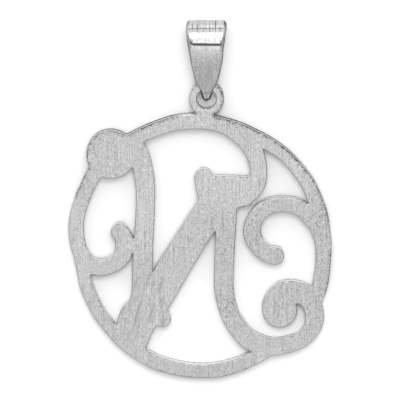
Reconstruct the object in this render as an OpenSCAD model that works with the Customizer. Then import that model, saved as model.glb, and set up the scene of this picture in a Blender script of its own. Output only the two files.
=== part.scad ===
// Initial pendant: an openwork script initial in a round rim, lying on its front, with a folded bail.
// Millimetres. X runs across the pendant, Y up to the bail and Z up from the surface it lies on.

/* [Plate] */
// Radius of the round rim
ring_r = 13; // [10:0.5:20]
// Thickness of the whole plate
plate_t = 1.5; // [1:0.1:2.5]
// Mean width of the rim
rim_w = 1.4; // [1.1:0.05:1.9]
// Width of the initial's two stems
stem_w = 2; // [1.5:0.05:2.3]
// Width of the initial's diagonal
diagonal_w = 3; // [2.2:0.05:3.4]
// Width of the scrolls that branch off the rim
scroll_w = 1.6; // [1.2:0.05:1.8]
// Radius of the joint where the left scroll runs into the left stem
joint_r = 0.62; // [0.5:0.02:0.8]

/* [Ball ends] */
// Radius of the large ball on the rim
rim_ball_r = 2.45; // [2:0.05:2.8]
// Radius of the ball that ends the right stem's tail
tail_ball_r = 1.75; // [1.3:0.05:1.9]
// Radius of the small balls that end the scrolls
scroll_ball_r = 0.88; // [0.7:0.02:1]
// Radius of the round head of the diagonal
head_ball_r = 0.92; // [0.8:0.02:1.1]
// Radius of the small ball at the foot of the diagonal
foot_ball_r = 0.8; // [0.6:0.05:1]

/* [Hanging loop] */
// Outer radius of the loop on top of the rim
loop_r = 1.75; // [1.6:0.05:2]
// Radius of the hole in the loop
loop_hole_r = 1; // [0.95:0.05:1.1]
// Depth to which the loop is sunk in the rim
loop_sink = 0.22; // [0.2:0.02:0.5]

/* [Bail] */
// Width of the bail at its fold
bail_w = 4.05; // [3:0.05:5]
// Length of the bail from its tip to its fold
bail_len = 8.2; // [7:0.1:11]
// Thickness of the bail's strip
bail_t = 0.4; // [0.3:0.05:0.5]
// Radius of the outside of the fold
fold_r = 1.65; // [1.5:0.05:2]
// Half width of the bail where it goes through the loop
throat_w = 0.6; // [0.45:0.05:0.65]

/* [Fit] */
// Gap between the bail and each face of the loop
bail_gap = 0.08; // [0.05:0.01:0.12]

/* [Hidden] */
$fn = 96;

// The outline is drawn on a squared grid: the rim's radius holds this many squares
grid_squares = 130;
grid = ring_r / grid_squares;
// Steps that a spline takes from one station to the next
spline_steps = 5;
// Steps of the round ends of the bail, in half a turn
fold_steps = 24;

// Each stroke table has the columns place across, place up and width: the places in grid squares from
// the rim's centre, and the width as a share of the stroke's named width

// Rim, from the large ball over the top and down the right side
rim_top = [
    [-89, 95, 0.90], [-74, 105, 0.93], [-60, 112.5, 0.97], [-47, 118, 1.01], [-28, 124.5, 1.04],
    [-11, 127, 1.10], [5, 127, 1.10], [17, 124.5, 1.07], [38, 118.5, 1.03], [52, 112.5, 0.97],
    [67, 105, 0.92], [86, 91.5, 0.88], [104.5, 69.5, 0.96], [113, 53, 1.06], [120.5, 31, 1.11],
    [123, 7.5, 1.22], [123.5, -4.5, 1.15], [123, -17.5, 1.09], [121.5, -30, 1.14], [119, -43, 1.07],
    [115, -55, 1.00],
];
// Rim, from the left scroll along the bottom to the right stem's tail
rim_foot = [
    [-120.5, -2, 1.00], [-119, -13, 0.93], [-116.5, -26, 0.92], [-113.5, -40, 0.96], [-104, -62, 0.95],
    [-96, -74.5, 0.94], [-86, -86.5, 0.96], [-76, -97, 0.98], [-55.5, -111.5, 1.03], [-38, -119.5, 0.99],
    [-14, -125, 0.97], [5, -126, 0.95], [19, -125, 1.01], [38, -120, 0.97], [49, -115, 0.97],
    [58, -111, 0.95], [68, -105, 0.90],
];
// Left scroll, from the large ball down the left side and round to its small ball
left_scroll = [
    [-99, 84, 0.95], [-107, 72, 0.94], [-113, 60, 0.90], [-118, 48, 0.94], [-122, 35.5, 0.94],
    [-124, 22, 0.95], [-123, 9, 0.97], [-120, -4, 0.95], [-110.5, -18, 0.95], [-98, -21, 0.98],
    [-89, -18.5, 1.01], [-82, -14, 1.03], [-77, -6.5, 1.10], [-75.5, 6.5, 1.13], [-80, 15, 1.02],
];
// Left stem of the initial, from the rim down to the foot
left_stem = [
    [-68, 107, 0.85], [-63, 98.5, 0.93], [-59, 88.5, 0.98], [-55.5, 70.5, 0.99], [-54.5, 58, 0.96],
    [-54.5, 43, 0.95], [-55.5, 22, 0.96], [-57, -2.5, 0.99], [-57.5, -28, 1.02], [-58, -50, 1.07],
    [-58, -66, 1.10],
];
// Diagonal of the initial, from its head down to the foot
diagonal = [
    [18, 49.5, 1.05], [4.5, 29, 1.05], [-6.5, 12, 1.05], [-25.5, -19.5, 1.08], [-38, -42, 1.06],
    [-45, -54, 1.04], [-52, -65.5, 1.04],
];
// Neck that widens from the diagonal's round head
head_neck = [[3.3, 70.5, 0.60], [6, 60, 0.68], [11, 48, 0.85]];
// Hook of the right stem, from the rim round to the bar at its top
hook = [
    [25, 119.5, 0.50], [36, 115.5, 0.85], [46, 109, 0.93], [54, 96.5, 0.91], [57.5, 85, 0.87],
    [58.5, 74, 0.85], [56.5, 64, 0.88], [50, 55, 0.84], [38, 50, 0.98], [24, 48, 1.00],
];
// Right stem of the initial, with the tail that rolls up to its ball
right_stem = [
    [26, 52, 1.05], [26, 33, 1.05], [25.5, 12.5, 1.00], [24.5, -7.5, 0.99], [24, -28, 0.98],
    [24, -43, 0.98], [27.5, -60.5, 0.93], [33, -74.5, 0.92], [45.5, -91.5, 0.95], [58.5, -98.5, 0.92],
    [71, -101.5, 0.85], [84, -100.5, 0.80], [100.5, -95, 0.78], [111.5, -83.5, 0.86], [115, -71.5, 0.95],
    [113, -60, 0.95], [108, -51.5, 1.00], [99.5, -46.5, 1.07], [90, -44.5, 1.02], [80, -46, 0.97],
    [72, -51, 0.75], [66.5, -57, 0.45], [65, -62.5, 0.25],
];
// Right scroll, from the rim over the top and down to its small ball
right_scroll = [
    [122.5, 5, 0.94], [117, 21, 1.00], [106.5, 34, 1.03], [97, 41, 0.97], [83, 43.5, 0.94],
    [70, 41.5, 0.96], [60, 35.5, 0.99], [53.5, 25, 1.04], [52, 16, 1.10], [53.5, 9, 1.09],
    [59.5, -1.5, 0.99], [68, -7.5, 1.03], [75.5, -9, 1.04],
];
// Foot where the left stem and the diagonal run together into the rim, as a closed curve
foot = [
    [-64, -42], [-71, -54], [-77, -60], [-81, -68.5], [-83, -79], [-78, -93], [-65, -105],
    [-55.5, -104], [-51, -94], [-46, -83.5], [-40, -75], [-34, -63], [-40, -45],
];
// Bar between the diagonal's head and the hook
bar = [[8, 72.5], [10, 42], [50, 42], [58, 62], [50, 71]];
// Places of the ball ends on the grid
rim_ball = [-89, 94];
tail_ball = [79.8, -64];
left_ball = [-80.5, 15.3];
right_ball = [75.5, -9];
head_ball = [3.3, 70.5];
foot_ball = [-37, -73];
// Place of the left scroll's joint on the grid
joint = [-67.5, 1.5];
// Place of the hanging loop across the grid
loop_across = 6.5;
loop_y = max([for (row = rim_top) row[1] * grid + row[2] * rim_w / 2]) + loop_r - loop_sink;
loop = [loop_across, loop_y / grid];

// Bail seen from the front: share of the way from its tip to its fold, share of the way from the throat's
// half width to the fold's
bail_shares = [
    [0, -0.34], [0.012, -0.22], [0.035, -0.13], [0.08, -0.06], [0.13, 0], [0.17, 0.09], [0.24, 0.31],
    [0.31, 0.45], [0.4, 0.57], [0.5, 0.69], [0.6, 0.79], [0.7, 0.9], [0.78, 0.97], [0.86, 1],
    [0.94, 0.99], [0.98, 0.95], [1, 0.9],
];

// The bail's strip leaves room for the loop and its gaps where it turns through the hole
nose_r = plate_t / 2 + bail_gap + bail_t;
nose_y = loop_y + loop_hole_r - bail_gap;
tip_y = nose_y - nose_r;
fold_y = tip_y + bail_len - fold_r;
// Lowest edge of the rim, on which the plate lies, while its loop lies on the bail
toe_y = min([for (row = rim_foot) row[1] * grid - row[2] * rim_w / 2]);
lie_angle = atan((bail_t + bail_gap) / (nose_y - toe_y));
// Middle of the pendant's whole length, where the origin is
mid_y = (toe_y + tip_y + bail_len) / 2;

// Catmull-Rom curve from b to c at the share t
function spline_point(a, b, c, d, t) =
    (2 * b + (c - a) * t + (2 * a - 5 * b + 4 * c - d) * t * t + (3 * b - a - 3 * c + d) * t * t * t) / 2;
function spline(rows) = [
    for (i = [0:len(rows) - 2])
        for (k = [0:spline_steps - 1])
            spline_point(rows[max(i - 1, 0)], rows[i], rows[i + 1], rows[min(i + 2, len(rows) - 1)],
                         k / spline_steps),
    rows[len(rows) - 1],
];
function closed_spline(rows) = [
    for (i = [0:len(rows) - 1])
        for (k = [0:spline_steps - 1])
            spline_point(rows[(i + len(rows) - 1) % len(rows)], rows[i], rows[(i + 1) % len(rows)],
                         rows[(i + 2) % len(rows)], k / spline_steps),
];
function unit(v) = v / norm(v);
function across(a, b) = let (run = unit(b - a)) [-run[1], run[0]];
function spine(rows) = [for (row = rows) [row[0], row[1]] * grid];
// One long edge of a stroke, on the side that sign names
function stroke_edge(rows, width, sign) = let (line = spine(rows), last = len(rows) - 1) [
    for (i = [0:last])
        line[i] + sign * rows[i][2] * width / 2 * across(line[max(i - 1, 0)], line[min(i + 1, last)]),
];
function reversed(list) = [for (i = [len(list) - 1:-1:0]) list[i]];

module stroke(table, width) {
    rows = spline(table);
    polygon(concat(stroke_edge(rows, width, -1), reversed(stroke_edge(rows, width, 1))));
}

module ball(place, radius) {
    translate(place * grid) circle(radius);
}

module plate_outline() {
    difference() {
        union() {
            stroke(rim_top, rim_w);
            stroke(rim_foot, rim_w);
            stroke(left_scroll, scroll_w);
            stroke(left_stem, stem_w);
            stroke(diagonal, diagonal_w);
            stroke(head_neck, diagonal_w);
            stroke(hook, stem_w);
            stroke(right_stem, stem_w);
            stroke(right_scroll, scroll_w);
            polygon(closed_spline(foot) * grid);
            polygon(bar * grid);
            ball(rim_ball, rim_ball_r);
            ball(tail_ball, tail_ball_r);
            ball(left_ball, scroll_ball_r);
            ball(right_ball, scroll_ball_r);
            ball(head_ball, head_ball_r);
            ball(foot_ball, foot_ball_r);
            ball(joint, joint_r);
            ball(loop, loop_r);
        }
        ball(loop, loop_hole_r);
    }
}

// Points of a round end, from one angle to another
function round_end(centre, radius, from, to) = [
    for (k = [0:fold_steps])
        let (a = from + (to - from) * k / fold_steps) centre + radius * [cos(a), sin(a)],
];

// Side view of the bail, a strip round its fold and its nose, drawn in from the outside by inset
module bail_side(inset) {
    lean = atan2(fold_r - nose_r, fold_y - nose_y);
    polygon(concat(
        round_end([fold_y, fold_r], fold_r - inset, -90, 90 + 2 * lean),
        round_end([nose_y, nose_r], nose_r - inset, 90 + 2 * lean, 270)
    ));
}

module bail_front() {
    rows = spline(bail_shares);
    side = [for (row = rows) [throat_w + row[1] * (bail_w / 2 - throat_w), tip_y + row[0] * bail_len]];
    polygon(concat(side, [for (point = reversed(side)) [-point[0], point[1]]]));
}

// Turns a side view, drawn in Y and Z, into a bar that runs along X
module along_x(length) {
    rotate([90, 0, 90]) translate([0, 0, -length / 2]) linear_extrude(length) children();
}

module initial_plate() {
    color("silver")
        translate([0, toe_y - mid_y, 0]) rotate([lie_angle, 0, 0]) translate([0, -toe_y, 0])
            linear_extrude(plate_t) plate_outline();
}

module bail() {
    color("gainsboro")
        translate([loop[0] * grid, -mid_y, 0])
            intersection() {
                along_x(2 * bail_w) difference() {
                    bail_side(0);
                    bail_side(bail_t);
                }
                linear_extrude(2 * fold_r) bail_front();
            }
}

initial_plate();
bail();
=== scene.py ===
"""Initial pendant: an openwork script initial in a round rim, lying on its front, with a folded bail."""
import math

import bmesh
import bpy
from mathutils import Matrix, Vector
from mathutils.geometry import tessellate_polygon


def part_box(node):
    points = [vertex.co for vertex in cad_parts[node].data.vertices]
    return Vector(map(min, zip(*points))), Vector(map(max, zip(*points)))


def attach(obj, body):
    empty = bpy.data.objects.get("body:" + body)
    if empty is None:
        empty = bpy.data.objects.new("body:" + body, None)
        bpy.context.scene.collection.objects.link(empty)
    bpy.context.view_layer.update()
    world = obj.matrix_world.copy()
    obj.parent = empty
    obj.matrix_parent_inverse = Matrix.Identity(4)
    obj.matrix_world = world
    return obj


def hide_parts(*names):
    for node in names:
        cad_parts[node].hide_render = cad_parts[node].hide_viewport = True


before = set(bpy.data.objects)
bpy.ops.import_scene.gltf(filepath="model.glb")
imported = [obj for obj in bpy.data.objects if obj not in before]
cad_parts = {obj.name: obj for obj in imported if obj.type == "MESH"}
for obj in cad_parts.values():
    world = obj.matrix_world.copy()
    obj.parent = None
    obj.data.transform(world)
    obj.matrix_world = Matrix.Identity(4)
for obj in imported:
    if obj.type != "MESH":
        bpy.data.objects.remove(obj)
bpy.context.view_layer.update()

# Plate: the rim, the initial with its scrolls and balls, and the hanging loop are one flat casting of
# sterling silver. It is cut from its casting tree and rubbed flat on a belt, which leaves short marks along
# the pendant. A tumbler softens its edges. Painted shade darkens a specked band round the outside's back,
# most at the top right, and the edges that face the bail or, in a gap, face right, with painted shadow at
# the feet of their walls.
MM = 0.001                  # a millimetre, in metres
SAME_POINT = 0.001 * MM     # corners of the plate's faces that are closer than this are one
LEVEL = 0.999               # how far up from the plate a face of its back looks, at least
EDGE_ROUND = 0.08 * MM      # radius that the tumbler leaves on an edge
ROUND_STRIPS = 3            # strips of mesh round an edge
FLAT_RIM = 0.03 * MM        # strip beside it that keeps the back's shine flat up to there
OUTLINE_STEP = 0.12 * MM    # from one point of an outline to the next
SOFTENING = 3               # passes that take the facets out of an outline
RIM_SHADE_WIDE = 0.5 * MM        # how far the painted shade round the outside reaches over the back
RIM_SHADE_ON_BACK = (            # shares of that from the edge, and how much painted shade is there
    (1.0, 0.0), (0.75, 0.4), (0.35, 0.62),
)
RIM_SHADE_FADE = 12              # degrees in which a stretch of that painted shade begins or ends
RIM_SHADE_STRETCHES = (          # degrees round the rim from its right side, start and end, and how much painted shade
    (-118, -62, 0.62), (-36, 2, 0.75), (-6, 42, 0.76), (30, 86, 0.85), (74, 100, 0.8), (92, 134, 0.8),
    (122, 174, 0.75),
)
EDGE_SHADE = 0.5                  # how much painted shade is on the edges that face the bail
EDGE_SHADE_TO_RIGHT = 1.0         # and in a gap's edges that face right, as a share of that
EDGE_SHADE_FACING = 0.6            # how far a wall faces that way, 0 to 1, where it has all of it
UNSHADED_BELOW = 0.1 * MM      # from the back's edge down to where the wall has the least painted shade
FOOT_SHADE_HIGH = 0.32 * MM       # how far painted shadow at a wall's foot reaches up a gap's wall from the front
RIM_FOOT_SHADE_HIGH = 0.8 * MM    # how far it reaches up the outside
FOOT_SHADE_FADE = 0.35 * MM       # height in which it thins out above that
BY_EDGE = (0, 0.68)         # shares of the painted edge shade and of the painted shade round the outside, on the back beside an edge
ON_EDGE = (1.08, 0.84)      # on the rounded edge
UNSHADED_WALL = (0, 0.25)      # on the wall below it, which has little painted shade
THIN_SHADE = (0.4, 0.42)     # where the painted shade has thinned out
FULL_SHADE = (1.3, 1)        # and from there down to the front


def linear(hex_colour):
    """An sRGB hex colour as linear RGBA."""
    parts = [int(hex_colour[i:i + 2], 16) / 255 for i in (1, 3, 5)]
    return tuple(c / 12.92 if c <= 0.04045 else ((c + 0.055) / 1.055) ** 2.4 for c in parts) + (1.0,)


def add(tree, kind, settings=None, links=None):
    """Adds a node to a tree, with its settings or input values, and the outputs that feed its inputs."""
    made = tree.nodes.new(kind)
    for name, value in (settings or {}).items():
        if isinstance(name, str) and hasattr(made, name):
            setattr(made, name, value)
        else:
            made.inputs[name].default_value = value
    for name, source in (links or {}).items():
        tree.links.new(source, made.inputs[name])
    return made


def rise(value, start, end):
    """0 at start and before it, 1 at end and past it, with a soft slope between."""
    t = min(max((value - start) / (end - start), 0.0), 1.0)
    return t * t * (3 - 2 * t)


def face_outlines(node, up):
    """Closed outlines of the flat face of a node that looks along up."""
    shape = bmesh.new()
    shape.from_mesh(node.data)
    bmesh.ops.remove_doubles(shape, verts=shape.verts, dist=SAME_POINT)
    shape.verts.index_update()
    shape.verts.ensure_lookup_table()
    flat = {face for face in shape.faces if face.normal.dot(up) > LEVEL}
    beside = {}
    for edge in shape.edges:
        if sum(face in flat for face in edge.link_faces) == 1:
            a, b = (corner.index for corner in edge.verts)
            beside.setdefault(a, []).append(b)
            beside.setdefault(b, []).append(a)
    outlines, left = [], set(beside)
    while left:
        start = left.pop()
        line, last, here = [start], None, start
        while True:
            onward = [i for i in beside[here] if i != last and (i in left or i == start)]
            if not onward or (onward[0] == start and len(line) > 2):
                break
            last, here = here, onward[0]
            left.discard(here)
            line.append(here)
        outlines.append([shape.verts[i].co.copy() for i in line])
    shape.free()
    return outlines


def evened(line, step, passes):
    """A closed line with its points a step apart, softened by so many passes."""
    ends = line[1:] + line[:1]
    lengths = [(b - a).length for a, b in zip(line, ends)]
    count = round(sum(lengths) / step)
    pitch = sum(lengths) / count
    points, gone, k = [], 0.0, 0
    for i in range(count):
        while gone + lengths[k] < i * pitch:
            gone += lengths[k]
            k += 1
        points.append(line[k].lerp(ends[k], (i * pitch - gone) / lengths[k]))
    for _ in range(passes):
        points = [points[i - 1] * 0.25 + p * 0.5 + points[(i + 1) % count] * 0.25
                  for i, p in enumerate(points)]
    return points


def signed_area(line):
    """The area inside a closed line, above 0 where it runs anticlockwise."""
    return sum(a.x * b.y - b.x * a.y for a, b in zip(line, line[1:] + line[:1])) / 2


plate_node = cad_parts["initial_plate"]
plate_back = max(plate_node.data.polygons, key=lambda face: face.area * (face.normal.z > 0))
plate_up = plate_back.normal.copy()
plate_along = plate_up.cross(Vector((1, 0, 0)))
back_height = plate_back.center.dot(plate_up)
plate_thick = back_height - min(corner.co.dot(plate_up) for corner in plate_node.data.vertices)

flat_lines = [[Vector((p.x, p.dot(plate_along))) for p in line]
              for line in face_outlines(plate_node, plate_up)]
outlines = [evened(line, OUTLINE_STEP, SOFTENING) for line in flat_lines]
outlines.sort(key=lambda line: -abs(signed_area(line)))
outside = outlines[0]
for line in outlines:       # the metal is on the left of each line
    if (signed_area(line) > 0) != (line is outside):
        line.reverse()
rim_middle = Vector([(min(p[axis] for p in outside) + max(p[axis] for p in outside)) / 2
                     for axis in (0, 1)])


def edge_rings(on_outside):
    """Rings from the back over an edge to the front: inset, height over the back, and shares of the painted
    edge shade and of the painted shade round the outside.
    """
    turns = [math.radians(90) * k / ROUND_STRIPS for k in range(ROUND_STRIPS + 1)]
    rounding = [(EDGE_ROUND * (1 - math.sin(turn)), EDGE_ROUND * (1 - math.cos(turn))) for turn in turns]
    foot_shade_from = (RIM_FOOT_SHADE_HIGH if on_outside else FOOT_SHADE_HIGH) - plate_thick
    back = [(share * RIM_SHADE_WIDE, 0, 0, rim_shade) for share, rim_shade in RIM_SHADE_ON_BACK] if on_outside else []
    back += [(EDGE_ROUND + FLAT_RIM, 0, *BY_EDGE)]
    back_edge = [(inset, -drop, *ON_EDGE) for inset, drop in rounding]
    wall = [(0, -EDGE_ROUND - UNSHADED_BELOW, *UNSHADED_WALL), (0, foot_shade_from + FOOT_SHADE_FADE, *THIN_SHADE),
            (0, foot_shade_from, *FULL_SHADE)]
    front_edge = [(inset, drop - plate_thick, *FULL_SHADE) for inset, drop in reversed(rounding)]
    return back + back_edge + wall + front_edge


def rim_shade_at(point):
    """How much painted shade the outside's edge has: most at the top right, less at either side, a trace at
    the foot.
    """
    turn = math.degrees(math.atan2(point.y - rim_middle.y, point.x - rim_middle.x))
    return sum(rise(turn, start, start + RIM_SHADE_FADE) * rise(turn, end, end - RIM_SHADE_FADE) * much
               for start, end, much in RIM_SHADE_STRETCHES)


def plate_mesh():
    """The casting, with its edges rounded. Its layer of painted shade says how dark each edge and wall is
    painted.
    """
    made = bmesh.new()
    painted_shade = made.verts.layers.float.new("painted_shade")
    backs, fronts = [], []
    for line in outlines:
        count = len(line)
        runs = [(line[(i + 1) % count] - line[i - 1]).normalized() for i in range(count)]
        inward = [Vector((-run.y, run.x)) for run in runs]
        rings = []
        for inset, height, shade_share, rim_shade in edge_rings(line is outside):
            ring = []
            for p, side in zip(line, inward):
                q = p + side * inset
                place = Vector((q.x, 0, 0)) + plate_along * q.y + plate_up * (back_height + height)
                ring.append(made.verts.new(place))
                # painted shade: dark edges that face the bail or face right, painted shadow at their walls'
                # feet, and a dark band round the outside
                faces = -side.y - EDGE_SHADE_TO_RIGHT * side.x * (line is not outside)
                ring[-1][painted_shade] = max(rim_shade * rim_shade_at(p) * (line is outside),
                                     shade_share * EDGE_SHADE * rise(faces, 0, EDGE_SHADE_FACING))
            rings.append(ring)
        for upper, lower in zip(rings, rings[1:]):
            for i in range(count):
                j = (i + 1) % count
                made.faces.new((upper[i], lower[i], lower[j], upper[j])).smooth = True
        backs.append(rings[0])
        fronts.append(rings[-1])
    for rings, up in ((backs, plate_up), (fronts, -plate_up)):
        corners = [corner for ring in rings for corner in ring]
        flat = [[(corner.co.x, corner.co.dot(plate_along), 0) for corner in ring] for ring in rings]
        for triangle in tessellate_polygon(flat):
            face = made.faces.new([corners[i] for i in triangle])
            face.normal_update()
            if face.normal.dot(up) < 0:
                face.normal_flip()
    mesh = bpy.data.meshes.new("initial_plate_cast")
    made.to_mesh(mesh)
    made.free()
    return mesh


plate = bpy.data.objects.new("initial_plate_cast", plate_mesh())
bpy.context.scene.collection.objects.link(plate)

# A fine belt's marks are 0.03 mm wide, too fine for the picture, so they are drawn 3.5 times as wide.
BELT_MARK = (0.105 * MM, 0.351 * MM)            # width and length of a short mark
BELT_STROKE = (0.105 * MM, 3.51 * MM)           # and of a long one
GRAIN = 0.118 * MM                              # width of the grain that the tumbler leaves, also coarser
RUBBED_PATCH = 9.1 * MM                         # width of a patch where the belt pressed more
PIT = 0.154 * MM                                # width of a casting pit
PITTED_PATCH = 3.85 * MM                        # width of a patch with more pits
SCUFF = (0.333 * MM, 2.0 * MM)                  # width and length of a scuff
SCUFF_SLANT = math.radians(-16)                 # from the belt's way
SCUFFED = (-5.8 * MM, -10.2 * MM, 1.5 * MM)     # middle of the scuffed place, by the diagonal's foot
SCUFFED_NEAR, SCUFFED_FAR = 2.5 * MM, 6 * MM    # how far from it the scuffs begin to fade, and end
SPECK = 0.2 * MM                                # width of a speck in the painted shade


def satin_silver():
    """Sterling silver, cast, belted and tumbled: a soft grey shine with fine marks, walls painted light, and
    dull dark painted shade on edges.
    """
    made = bpy.data.materials.new("satin_silver")
    made.use_nodes = True
    tree = made.node_tree
    coords = add(tree, "ShaderNodeTexCoord")
    place = coords.outputs["Object"]

    # marks of the belt along the pendant, short and long, and the tumbler's grain over them
    belted = []
    for wide, long in (BELT_MARK, BELT_STROKE):
        along = add(tree, "ShaderNodeMapping", {"Scale": (1 / wide, 1 / long, 1 / wide)}, {"Vector": place})
        belted.append(add(tree, "ShaderNodeTexNoise", {"Scale": 1.0, "Detail": 2.0},
                          {"Vector": along.outputs[0]}))
    worn = add(tree, "ShaderNodeMix", {"data_type": "FLOAT", "Factor": 0.42},
               {"A": belted[0].outputs[0], "B": belted[1].outputs[0]})
    grains = add(tree, "ShaderNodeTexNoise", {"Scale": 1 / GRAIN, "Detail": 2.0}, {"Vector": place})
    marks = add(tree, "ShaderNodeMix", {"data_type": "FLOAT", "Factor": 0.4},
                {"A": worn.outputs[0], "B": grains.outputs[0]})

    # the back's grey: light and dark marks, darker patches that were rubbed more, and pits
    patches = add(tree, "ShaderNodeTexNoise", {"Scale": 1 / RUBBED_PATCH, "Detail": 1.0}, {"Vector": place})
    rubbed = add(tree, "ShaderNodeMapRange", {"To Min": 1.0, "To Max": 0.0}, {"Value": patches.outputs[0]})
    uneven = add(tree, "ShaderNodeMix", {"data_type": "FLOAT", "Factor": 0.09},
                 {"A": marks.outputs[0], "B": rubbed.outputs[0]})
    tone = add(tree, "ShaderNodeMapRange", {"From Min": 0.35, "From Max": 0.65},
               {"Value": uneven.outputs[0]})
    grey = add(tree, "ShaderNodeMix", {"data_type": "RGBA", "A": linear("#878787"), "B": linear("#cecece")},
               {"Factor": tone.outputs[0]})
    pits = add(tree, "ShaderNodeTexNoise", {"Scale": 1 / PIT, "Detail": 1.0}, {"Vector": place})
    pitted = add(tree, "ShaderNodeTexNoise", {"Scale": 1 / PITTED_PATCH, "Detail": 1.0}, {"Vector": place})
    gathered = add(tree, "ShaderNodeMath", {"operation": "MULTIPLY_ADD", 1: 0.4},
                   {0: pitted.outputs[0], 2: pits.outputs[0]})
    in_pit = add(tree, "ShaderNodeMapRange", {"From Min": 0.87, "From Max": 0.96, "To Max": 0.65},
                 {"Value": gathered.outputs[0]})
    back = add(tree, "ShaderNodeMix", {"data_type": "RGBA", "B": linear("#5a5a5a")},
               {"Factor": in_pit.outputs[0], "A": grey.outputs["Result"]})

    # scuffs by the diagonal's foot
    slanted = add(tree, "ShaderNodeMapping", {"vector_type": "TEXTURE", "Rotation": (0.0, 0.0, SCUFF_SLANT),
                                              "Scale": (SCUFF[0], SCUFF[1], SCUFF[0])}, {"Vector": place})
    scuffs = add(tree, "ShaderNodeTexNoise", {"Scale": 1.0, "Detail": 2.0}, {"Vector": slanted.outputs[0]})
    away = add(tree, "ShaderNodeVectorMath", {"operation": "DISTANCE", 1: SCUFFED}, {0: place})
    near = add(tree, "ShaderNodeMapRange", {"From Min": SCUFFED_NEAR, "From Max": SCUFFED_FAR,
                                            "To Min": 1.0, "To Max": 0.0}, {"Value": away.outputs["Value"]})
    deep = add(tree, "ShaderNodeMapRange", {"From Min": 0.5, "From Max": 0.8}, {"Value": scuffs.outputs[0]})
    scuffed = add(tree, "ShaderNodeMath", {"operation": "MULTIPLY"},
                  {0: near.outputs[0], 1: deep.outputs[0]})
    scuffed_back = add(tree, "ShaderNodeMix", {"data_type": "RGBA", "B": linear("#8e8e8e")},
                       {"Factor": scuffed.outputs[0], "A": back.outputs["Result"]})

    # painted light and shade: the walls are painted brighter, to lift the shade in the gaps' corners, and
    # the rounded edges between are painted darker, as a dark line along each edge
    lift = add(tree, "ShaderNodeSeparateXYZ", links={"Vector": coords.outputs["Normal"]}).outputs["Z"]
    on_edge = add(tree, "ShaderNodeMapRange", {"From Min": 0.1, "From Max": 0.3}, {"Value": lift})
    wall = add(tree, "ShaderNodeMix", {"data_type": "RGBA", "A": linear("#dcdcdc"), "B": linear("#b1b1b1")},
               {"Factor": on_edge.outputs[0]})
    on_back = add(tree, "ShaderNodeMapRange", {"From Min": 0.985, "From Max": 0.9995}, {"Value": lift})
    base_before_shade = add(tree, "ShaderNodeMix", {"data_type": "RGBA"},
                {"Factor": on_back.outputs[0], "A": wall.outputs["Result"],
                 "B": scuffed_back.outputs["Result"]})

    # painted shade on the edges and at the walls' feet, broken up into specks: it hides the metal and has no
    # gloss
    painted_shade = add(tree, "ShaderNodeAttribute", {"attribute_name": "painted_shade"})
    specks = add(tree, "ShaderNodeTexNoise", {"Scale": 1 / SPECK, "Detail": 2.0}, {"Vector": place})
    speckled_shade = add(tree, "ShaderNodeMath", {"operation": "ADD"},
                 {0: painted_shade.outputs["Fac"], 1: specks.outputs[0]})
    shade_cover = add(tree, "ShaderNodeMapRange", {"From Min": 0.92, "From Max": 1.3, "To Max": 0.9},
                 {"Value": speckled_shade.outputs[0]}).outputs[0]
    colour = add(tree, "ShaderNodeMix", {"data_type": "RGBA", "B": linear("#303030")},
                 {"Factor": shade_cover, "A": base_before_shade.outputs["Result"]})
    bare = add(tree, "ShaderNodeMapRange", {"To Min": 1.0, "To Max": 0.0}, {"Value": shade_cover})
    satin = add(tree, "ShaderNodeMapRange", {"To Min": 0.30, "To Max": 0.42}, {"Value": tone.outputs[0]})
    rough = add(tree, "ShaderNodeMix", {"data_type": "FLOAT", "B": 0.9},
                {"Factor": shade_cover, "A": satin.outputs[0]})
    bump = add(tree, "ShaderNodeBump", {"Strength": 0.6, "Distance": 0.01 * MM},
               {"Height": marks.outputs[0]})
    surface = tree.nodes["Principled BSDF"]
    surface.inputs["Specular IOR Level"].default_value = 0.0
    for name, source in (("Base Color", colour.outputs["Result"]), ("Metallic", bare.outputs[0]),
                         ("Roughness", rough.outputs[0]), ("Normal", bump.outputs[0])):
        tree.links.new(source, surface.inputs[name])
    return made


plate.data.materials.append(satin_silver())
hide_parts("initial_plate")
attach(plate, "root")

# Bail: a tapered strip of sterling silver, cut with bevelled edges, bent over at the top and closed
# through the hanging loop. The bending tool left short marks round the fold, and the pliers that closed it
# left a crease across its back. It is polished. A dark line round the fold is painted as a dark reflection,
# and painted shade darkens the fold's top, the crease, the bevelled edges and the nose.
STRIP = 0.4 * MM                    # thickness of the strip
CORNER_R = 0.06 * MM                # radius of its corners
CORNER_MIDDLE = 0.3                 # how far in the middle of a rounded corner is, as a share of that
NOSE_R = 1.23 * MM                  # outside of the nose, the bend that goes through the loop
THROAT = 0.6 * MM                   # half width where the bail goes through the loop
BAIL_SHARES = (                     # share of the length, and share of the half width beyond the throat
    (0, -0.34), (0.012, -0.22), (0.035, -0.13), (0.08, -0.06), (0.13, 0), (0.17, 0.09), (0.24, 0.31),
    (0.31, 0.45), (0.4, 0.57), (0.5, 0.69), (0.6, 0.79), (0.7, 0.9), (0.78, 0.97), (0.86, 1),
    (0.94, 0.99), (0.98, 0.95), (1, 0.9),
)
INSET_MOST = 0.6                    # share of the half width that a bevel takes at most
EDGE_BEVEL = (0.11 * MM, 0.03 * MM)     # width and depth of its bevelled edges
BEVEL_MIDDLE = (0.6, 0.35)              # shares of both at a point on the bevel, which is a little round
FOLD_BEVEL = (0.2 * MM, 0.05 * MM)      # how much wider and deeper the edges are towards the fold
NOSE_BEVEL = (0.13 * MM, 0.22 * MM)     # and towards the nose
FRONT_BEVEL = 0.18 * MM                 # how much deeper they are round the fold to its front
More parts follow.
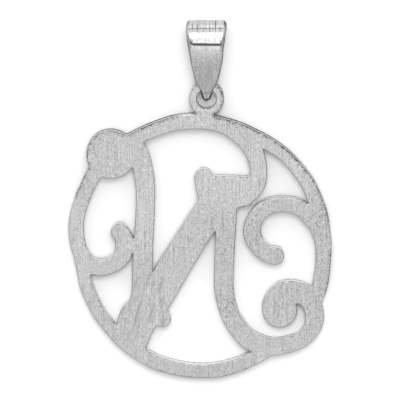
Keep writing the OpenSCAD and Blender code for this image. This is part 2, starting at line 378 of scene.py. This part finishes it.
# Each pair below says where something begins, and where it is whole. A place along the bail is a share of
# its length, and how far up the strip's outside looks is 1 for straight up and -1 for straight down.
FOLD_BEVEL_ALONG, FOLD_BEVEL_UP = (0.6, 0.74), (-0.1, 0.7)
NOSE_BEVEL_PAST, NOSE_BEVEL_UP = (0.6 * MM, -0.4 * MM), (-0.3, 0.3)     # past the middle of the nose's bend
FRONT_BEVEL_UP = (0.42, 0.02)
CREASE_DOWN = 2.14 * MM             # from the top of the fold to the crease
CREASE_TILT = 0.03 * MM             # how much higher its left end is than its middle
CREASE_ENDS = (                     # shares across where its ends begin to turn up, and stop, and how far
    (-0.62, -0.87, 0.24 * MM), (0.68, 0.84, 0.15 * MM),
)
CREASE_RISE = 0.03 * MM             # how far the fold stands proud above the crease
CREASE_SWELL = 0.3 * MM             # how long that swelling is
CREASE_DEEP = 0.07 * MM             # depth of the crease
CREASE_WIDE = 0.28 * MM             # its steep side, towards the fold
CREASE_FADE = 1.1 * MM              # its gentle side, towards the tip
BACK_LEAF_UP = 0.9                  # how far up the back leaf looks, at least
NIPPED = 0.14 * MM                  # how far the pliers pressed in the right edge
NIPPED_FROM, NIPPED_TO = (0.5, 0.7), (0.98, 0.83)   # along the bail, from either end
NIPPED_ACROSS = (0.2, 1.0)          # and shares of the half width
FOLD_DARK_LINE, FOLD_DARK_LINE_WIDE = 54, 2   # degrees round the fold to a dark line painted as a dark reflection, and the line's width
FOLD_DARK_LINE_DEPTH = 0.95               # how dark it is
FOLD_DARK_LINE_WEAK = 0.2                # how much weaker it is in places
FOLD_DARK_LINE_WAVES = (9, 23)           # and in what waves across, in radians to the millimetre
TOOL_MARKS = (                      # mm across, degrees round the fold from and to, and how dull
    (-1.72, 50, 66, 0.7), (-1.40, 30, 76, 0.8), (-0.92, 34, 80, 0.8), (-0.3, 50, 70, 0.6),
    (0.3, 46, 66, 0.6), (0.9, 8, 80, 1.0), (1.42, 46, 74, 0.8),
)
TOOL_MARK_WIDE = 0.06 * MM          # half the width of such a mark
TOOL_MARK_SKEW = 0.7                # below 1, it is deepest nearer its start
FOLD_TOP_SHADE = (10, 2, -20)             # degrees round the fold where painted shade on its top begins, is whole, and ends
FOLD_TOP_SHADE_DEPTH = 0.3                 # how dark that painted shade is
SHADED_EDGES = (0.62, 0.8)            # how dark the painted shade on the left and right bevelled edges is
SHADED_EDGE_WIDE = 0.1 * MM           # how wide that is
SHADED_EDGES_UP = -0.2                # how far up they look, at least
SHADED_FRONT = (0.55, 0.95)           # how dark they are painted round the fold to the front
SHADED_FRONT_UP = (0.9, 0.5)
SHADED_NOSE = (1.0, 0.85)             # and by the nose
SHADED_UNDER = 0.9                    # how dark the painted shade is on the nose where it goes down into the loop
SHADED_UNDER_UP = (0.4, 0.2)
COLUMNS = 72                        # strips of mesh across the bail
LEAF_STEPS, FOLD_STEPS, NOSE_STEPS = 110, 120, 32   # and along its straight parts and round its bends

bail_low, bail_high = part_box("bail")
bail_x = (bail_low.x + bail_high.x) / 2
half_wide = (bail_high.x - bail_low.x) / 2
fold_r = bail_high.z / 2
fold_y = bail_high.y - fold_r
nose_y = bail_low.y + NOSE_R


def share_along(y):
    """How far along the bail a place is, 0 at the nose and 1 at the fold."""
    return min(max((y - bail_low.y) / (bail_high.y - bail_low.y), 0.0), 1.0)


def half_width(y):
    """Half the bail's width at a place along it, on a smooth curve through its shares."""
    share = share_along(y)
    last = len(BAIL_SHARES) - 1
    k = max(i for i in range(last) if BAIL_SHARES[i][0] <= share)
    a, b, c, d = (BAIL_SHARES[min(max(i, 0), last)] for i in range(k - 1, k + 3))
    gap = c[0] - b[0]
    t = (share - b[0]) / gap
    slope_b = (c[1] - a[1]) / (c[0] - a[0]) * gap
    slope_c = (d[1] - b[1]) / (d[0] - b[0]) * gap
    value = ((2 * t ** 3 - 3 * t ** 2 + 1) * b[1] + (t ** 3 - 2 * t ** 2 + t) * slope_b
             + (-2 * t ** 3 + 3 * t ** 2) * c[1] + (t ** 3 - t ** 2) * slope_c)
    return THROAT + value * (half_wide - THROAT)


def bail_stations():
    """Places round the bail's outside, as Y, Z and the angle of the outward normal from +Y."""
    down, down_again = math.radians(-90), math.radians(270)
    up = math.radians(90) + 2 * math.atan2(fold_r - NOSE_R, fold_y - nose_y)
    stations = []
    for y, radius, start, end, steps, next_y, next_radius in (
            (nose_y, NOSE_R, down, down, 0, fold_y, fold_r),            # the front leaf, from the nose
            (fold_y, fold_r, down, up, FOLD_STEPS, nose_y, NOSE_R),     # the fold, and the back leaf from it
            (nose_y, NOSE_R, up, down_again, NOSE_STEPS, None, None)):  # the nose
        turns = [start + (end - start) * k / steps for k in range(steps)]
        stations += [(y + radius * math.cos(turn), radius + radius * math.sin(turn), turn) for turn in turns]
        if next_radius:
            a, b = ((middle + size * math.cos(end), size + size * math.sin(end))
                    for middle, size in ((y, radius), (next_y, next_radius)))
            stations += [(a[0] + (b[0] - a[0]) * k / LEAF_STEPS, a[1] + (b[1] - a[1]) * k / LEAF_STEPS, end)
                         for k in range(LEAF_STEPS)]
    return stations


def crease(x, y):
    """The bail's back near the crease, whose ends turn up towards the fold: its height and painted shade."""
    across = x / half_wide
    turned_up = sum(far * rise(across, start, end) for start, end, far in CREASE_ENDS)
    below = bail_high.y - CREASE_DOWN - CREASE_TILT * across + turned_up - y
    if below < 0:
        return CREASE_RISE * max(0.0, 1 + below / CREASE_SWELL), 0.0
    if below < CREASE_WIDE:
        darkened = math.sqrt(math.sin(math.pi * (below / CREASE_WIDE)))
        return CREASE_RISE - (CREASE_RISE + CREASE_DEEP) * rise(below, 0, CREASE_WIDE), darkened
    return -CREASE_DEEP * math.exp((CREASE_WIDE - below) / CREASE_FADE), 0.0


def fold_marks_and_shade(x, angle):
    """How dark a place round the fold is: the bending tool's marks, the dark line painted as a reflection,
    and painted shade on the fold's top.
    """
    turn = math.degrees(angle)
    waves = math.prod(math.sin(wave * x / MM) for wave in FOLD_DARK_LINE_WAVES)
    uneven = 1 - FOLD_DARK_LINE_WEAK * (1 - waves)
    # a dark line painted as a dark reflection, and painted shade on the fold's top; the tool marks after
    # them are real marks
    marks_and_shade = FOLD_DARK_LINE_DEPTH * uneven * math.exp(-((turn - FOLD_DARK_LINE) / FOLD_DARK_LINE_WIDE) ** 2)
    if turn > FOLD_TOP_SHADE[2]:
        marks_and_shade = max(marks_and_shade, FOLD_TOP_SHADE_DEPTH * rise(turn, *FOLD_TOP_SHADE[:2]))
    for at, start, end, much in TOOL_MARKS:
        along = (turn - start) / (end - start)
        if 0 < along < 1:
            beside = (x - at * MM) / TOOL_MARK_WIDE
            fading = math.sqrt(math.sin(math.pi * along ** TOOL_MARK_SKEW))
            marks_and_shade = max(marks_and_shade, much * math.exp(-beside ** 2) * fading)
    return marks_and_shade


def strip_section(bevel, drop):
    """The strip's section: inset from its edge, side or share across, and height over its inside."""
    near = CORNER_MIDDLE * CORNER_R
    over, deep = BEVEL_MIDDLE
    half = [(0.0, -0.5, 0.0), (CORNER_R, -1, 0.0), (near, -1, near), (0.0, -1, CORNER_R),
            (0.0, -1, STRIP - drop - CORNER_R), (near, -1, STRIP - drop - near),
            (CORNER_R, -1, STRIP - drop), ((1 - over) * CORNER_R + over * bevel, -1, STRIP - deep * drop)]
    columns = [(bevel, 2 * k / COLUMNS - 1, STRIP) for k in range(COLUMNS + 1)]
    return half + columns + [(inset, -side, high) for inset, side, high in reversed(half)]


def bail_mesh():
    """The bent strip, one ring of its section after another. Its layer of marks and shade says where tool
    marks and painted shade darken it.
    """
    made = bmesh.new()
    marks_and_shade = made.verts.layers.float.new("marks_and_shade")
    rings = []
    for y, z, angle in bail_stations():
        out = Vector((0, math.cos(angle), math.sin(angle)))
        share = share_along(y)
        upper = share > 0.5
        by_fold = rise(share, *FOLD_BEVEL_ALONG) * rise(out.z, *FOLD_BEVEL_UP)
        by_nose = rise(y - nose_y, *NOSE_BEVEL_PAST) * rise(out.z, *NOSE_BEVEL_UP)
        to_front = rise(out.z, *FRONT_BEVEL_UP) * upper
        bevel, drop = (edge + fold * by_fold + nose * by_nose
                       for edge, fold, nose in zip(EDGE_BEVEL, FOLD_BEVEL, NOSE_BEVEL))
        nipped = NIPPED * rise(share, *NIPPED_FROM) * rise(share, *NIPPED_TO)
        ring = []
        for inset, side, high in strip_section(bevel, drop + FRONT_BEVEL * to_front):
            place = Vector((0, y, z)) - out * (STRIP - high)
            half = half_width(place.y)
            place.x = side * (half - min(inset, half * INSET_MOST))
            # painted shade on the nose where it goes into the loop, on the bevelled edges, and in the crease
            darkened = SHADED_UNDER * rise(out.z, *SHADED_UNDER_UP) * by_nose
            if high == STRIP:
                darkened = max(darkened, fold_marks_and_shade(place.x, angle))
                if out.z > BACK_LEAF_UP:
                    height, crease_shade = crease(place.x, place.y)
                    place += out * height
                    darkened = max(darkened, crease_shade)
            if inset < bevel and out.z > SHADED_EDGES_UP:
                right = side > 0
                darkened = max(darkened, SHADED_EDGES[right] * (inset < SHADED_EDGE_WIDE),
                             SHADED_NOSE[right] * by_nose,
                             SHADED_FRONT[right] * rise(out.z, *SHADED_FRONT_UP) * upper)
            place.x += bail_x - nipped * rise(place.x / half, *NIPPED_ACROSS)
            ring.append(made.verts.new(place))
            ring[-1][marks_and_shade] = darkened
        rings.append(ring)
    count = len(rings[0])
    for ring, after in zip(rings, rings[1:] + rings[:1]):
        for i in range(count):
            j = (i + 1) % count
            made.faces.new((ring[i], ring[j], after[j], after[i])).smooth = True
    bmesh.ops.recalc_face_normals(made, faces=made.faces)
    mesh = bpy.data.meshes.new("bail_strip")
    made.to_mesh(mesh)
    made.free()
    return mesh


bail = bpy.data.objects.new("bail_strip", bail_mesh())
bpy.context.scene.collection.objects.link(bail)

# A polishing wheel's lines are 0.02 mm wide, too fine for the picture, so they are drawn 7 times as wide.
POLISH_LINE = (0.143 * MM, 2.38 * MM)   # width, and length along the bail
KNOCK = 0.167 * MM                      # width of the small knocks between them


def polished_silver():
    """Sterling silver, rolled and polished on a wheel: clear reflections, blurred a little by fine lines."""
    made = bpy.data.materials.new("polished_silver")
    made.use_nodes = True
    tree = made.node_tree
    place = add(tree, "ShaderNodeTexCoord").outputs["Object"]
    wide, long = POLISH_LINE
    along = add(tree, "ShaderNodeMapping", {"Scale": (1 / wide, 1 / long, 1 / long)}, {"Vector": place})
    lines = add(tree, "ShaderNodeTexNoise", {"Scale": 1.0, "Detail": 3.0}, {"Vector": along.outputs[0]})
    knocks = add(tree, "ShaderNodeTexNoise", {"Scale": 1 / KNOCK, "Detail": 3.0}, {"Vector": place})
    marks = add(tree, "ShaderNodeMix", {"data_type": "FLOAT", "Factor": 0.55},
                {"A": lines.outputs[0], "B": knocks.outputs[0]})
    tone = add(tree, "ShaderNodeMapRange", {"From Min": 0.3, "From Max": 0.7}, {"Value": marks.outputs[0]})
    silver = add(tree, "ShaderNodeMix",
                 {"data_type": "RGBA", "A": linear("#9a9a9a"), "B": linear("#dadada")},
                 {"Factor": tone.outputs[0]})

    # where the tool marks, the painted shade and the painted dark line are, the silver is dark and has no
    # gloss
    marks_and_shade = add(tree, "ShaderNodeAttribute", {"attribute_name": "marks_and_shade"}).outputs["Fac"]
    colour = add(tree, "ShaderNodeMix", {"data_type": "RGBA", "B": linear("#4c4c4c")},
                 {"Factor": marks_and_shade, "A": silver.outputs["Result"]})
    bare = add(tree, "ShaderNodeMapRange", {"To Min": 1.0, "To Max": 0.2}, {"Value": marks_and_shade})
    rough = add(tree, "ShaderNodeMapRange", {"To Min": 0.14, "To Max": 0.7}, {"Value": marks_and_shade})
    bump = add(tree, "ShaderNodeBump", {"Strength": 0.5, "Distance": 0.01 * MM},
               {"Height": marks.outputs[0]})
    surface = tree.nodes["Principled BSDF"]
    surface.inputs["Specular IOR Level"].default_value = 0.0
    for name, source in (("Base Color", colour.outputs["Result"]), ("Metallic", bare.outputs[0]),
                         ("Roughness", rough.outputs[0]), ("Normal", bump.outputs[0])):
        tree.links.new(source, surface.inputs[name])
    return made


bail.data.materials.append(polished_silver())
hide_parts("bail")
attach(bail, "root")

# Floor: a sheet of white card that the pendant lies on. It is uncoated, so it is matt all over
# and shows nothing but a soft shade beside the metal.
CARD_HALF = 2.0             # metres from its middle to its edge, far past the camera's view
card_mesh = bpy.data.meshes.new("white_card")
card_mesh.from_pydata([(-CARD_HALF, -CARD_HALF, 0), (CARD_HALF, -CARD_HALF, 0),
                       (CARD_HALF, CARD_HALF, 0), (-CARD_HALF, CARD_HALF, 0)], [], [(0, 1, 2, 3)])
card = bpy.data.objects.new("white_card", card_mesh)
bpy.context.scene.collection.objects.link(card)
uncoated_card = bpy.data.materials.new("uncoated_card")
uncoated_card.use_nodes = True
for name, value in (("Base Color", linear("#f3f3f3")), ("Roughness", 1.0), ("Specular IOR Level", 0.0)):
    uncoated_card.node_tree.nodes["Principled BSDF"].inputs[name].default_value = value
card.data.materials.append(uncoated_card)

# Light: a tent of white cloth over the pendant, lit from outside and brighter beyond the bail, with an open
# seam overhead that lets more light in. One softbox over it gives the soft shade on the card.
CLOTH = (                   # degrees from straight up, near side to the bail's side, and how much light
    (-90, 0.62), (-62, 0.58), (-44, 0.52), (-32, 0.36), (-24, 0.32), (-14, 0.42), (8, 0.42), (20, 0.92),
    (34, 0.88), (48, 0.93), (60, 0.86), (70, 0.88), (76, 1.08), (90, 1.2),
)
SEAM_ALONG = (              # the same for the seam, whose light is these two multiplied
    (-31, 0.0), (-24, 0.27), (-19, 0.7), (-16, 1.0), (8, 1.0), (10, 0.0),
)
SEAM_ACROSS = (             # degrees from straight up, left side to right side, and how much light
    (-30, 0.0), (-15, 0.1), (-5, 0.1), (-3, 1.0), (3, 1.0), (5, 0.1), (15, 0.1), (30, 0.0),
)
TENT_STRENGTH = 1.45        # of all that light
tent = bpy.data.worlds.new("light_tent")
bpy.context.scene.world = tent
tent.use_nodes = True
sky = tent.node_tree
look = add(sky, "ShaderNodeSeparateXYZ",
           links={"Vector": add(sky, "ShaderNodeTexCoord").outputs["Generated"]}).outputs
shades = []
for side, stops in (("Y", CLOTH), ("Y", SEAM_ALONG), ("X", SEAM_ACROSS)):
    turn = add(sky, "ShaderNodeMath", {"operation": "ARCTAN2"}, {0: look[side], 1: look["Z"]})
    angle = add(sky, "ShaderNodeMapRange", {"From Min": -math.pi / 2, "From Max": math.pi / 2},
                {"Value": turn.outputs[0]})
    ramp = add(sky, "ShaderNodeValToRGB", links={"Fac": angle.outputs[0]})
    while len(ramp.color_ramp.elements) < len(stops):
        ramp.color_ramp.elements.new(0.5)
    for stop, (degrees, light) in zip(ramp.color_ramp.elements, stops):
        stop.position = degrees / 180 + 0.5
        stop.color = (light, light, light, 1)
    shades.append(ramp.outputs[0])
seam = add(sky, "ShaderNodeVectorMath", {"operation": "MULTIPLY"}, {0: shades[1], 1: shades[2]})
all_light = add(sky, "ShaderNodeVectorMath", {"operation": "ADD"}, {0: shades[0], 1: seam.outputs[0]})
sky.nodes["Background"].inputs["Strength"].default_value = TENT_STRENGTH
sky.links.new(all_light.outputs[0], sky.nodes["Background"].inputs["Color"])

SOFTBOX = (0.30, 0.36)      # metres across and along
SOFTBOX_AWAY = 1.0          # metres from the pendant
SOFTBOX_WATTS = 4.0
SOFTBOX_RIGHT, SOFTBOX_FAR = math.radians(1), math.radians(18.5)    # from straight up
lamp = bpy.data.lights.new("key_softbox", "AREA")
lamp.shape = "RECTANGLE"
lamp.size, lamp.size_y = SOFTBOX
lamp.energy = SOFTBOX_WATTS
softbox = bpy.data.objects.new("key_softbox", lamp)
softbox.location = Vector((math.tan(SOFTBOX_RIGHT), math.tan(SOFTBOX_FAR), 1)).normalized() * SOFTBOX_AWAY
softbox.rotation_euler = (-math.atan(math.tan(SOFTBOX_FAR) * math.cos(SOFTBOX_RIGHT)), SOFTBOX_RIGHT, 0)
bpy.context.scene.collection.objects.link(softbox)

# Camera: over the pendant, leaning a little towards the bail's side, with a long lens as for a
# catalogue picture.
LEAN = math.radians(8.26)   # from straight up
DISTANCE = 0.9              # metres
VIEW_WIDE = 0.04            # metres of the card across the picture
aim = Vector((0.0, -0.138, 1.036)) * MM
camera = bpy.data.objects.new("camera", bpy.data.cameras.new("camera"))
camera.data.lens = camera.data.sensor_width * DISTANCE / VIEW_WIDE
camera.data.clip_start = 0.01
camera.location = aim + Vector((0, math.sin(LEAN), math.cos(LEAN))) * DISTANCE
camera.rotation_euler = (-LEAN, 0, 0)
bpy.context.scene.collection.objects.link(camera)
bpy.context.scene.camera = camera
bpy.context.scene.view_settings.view_transform = "Standard"
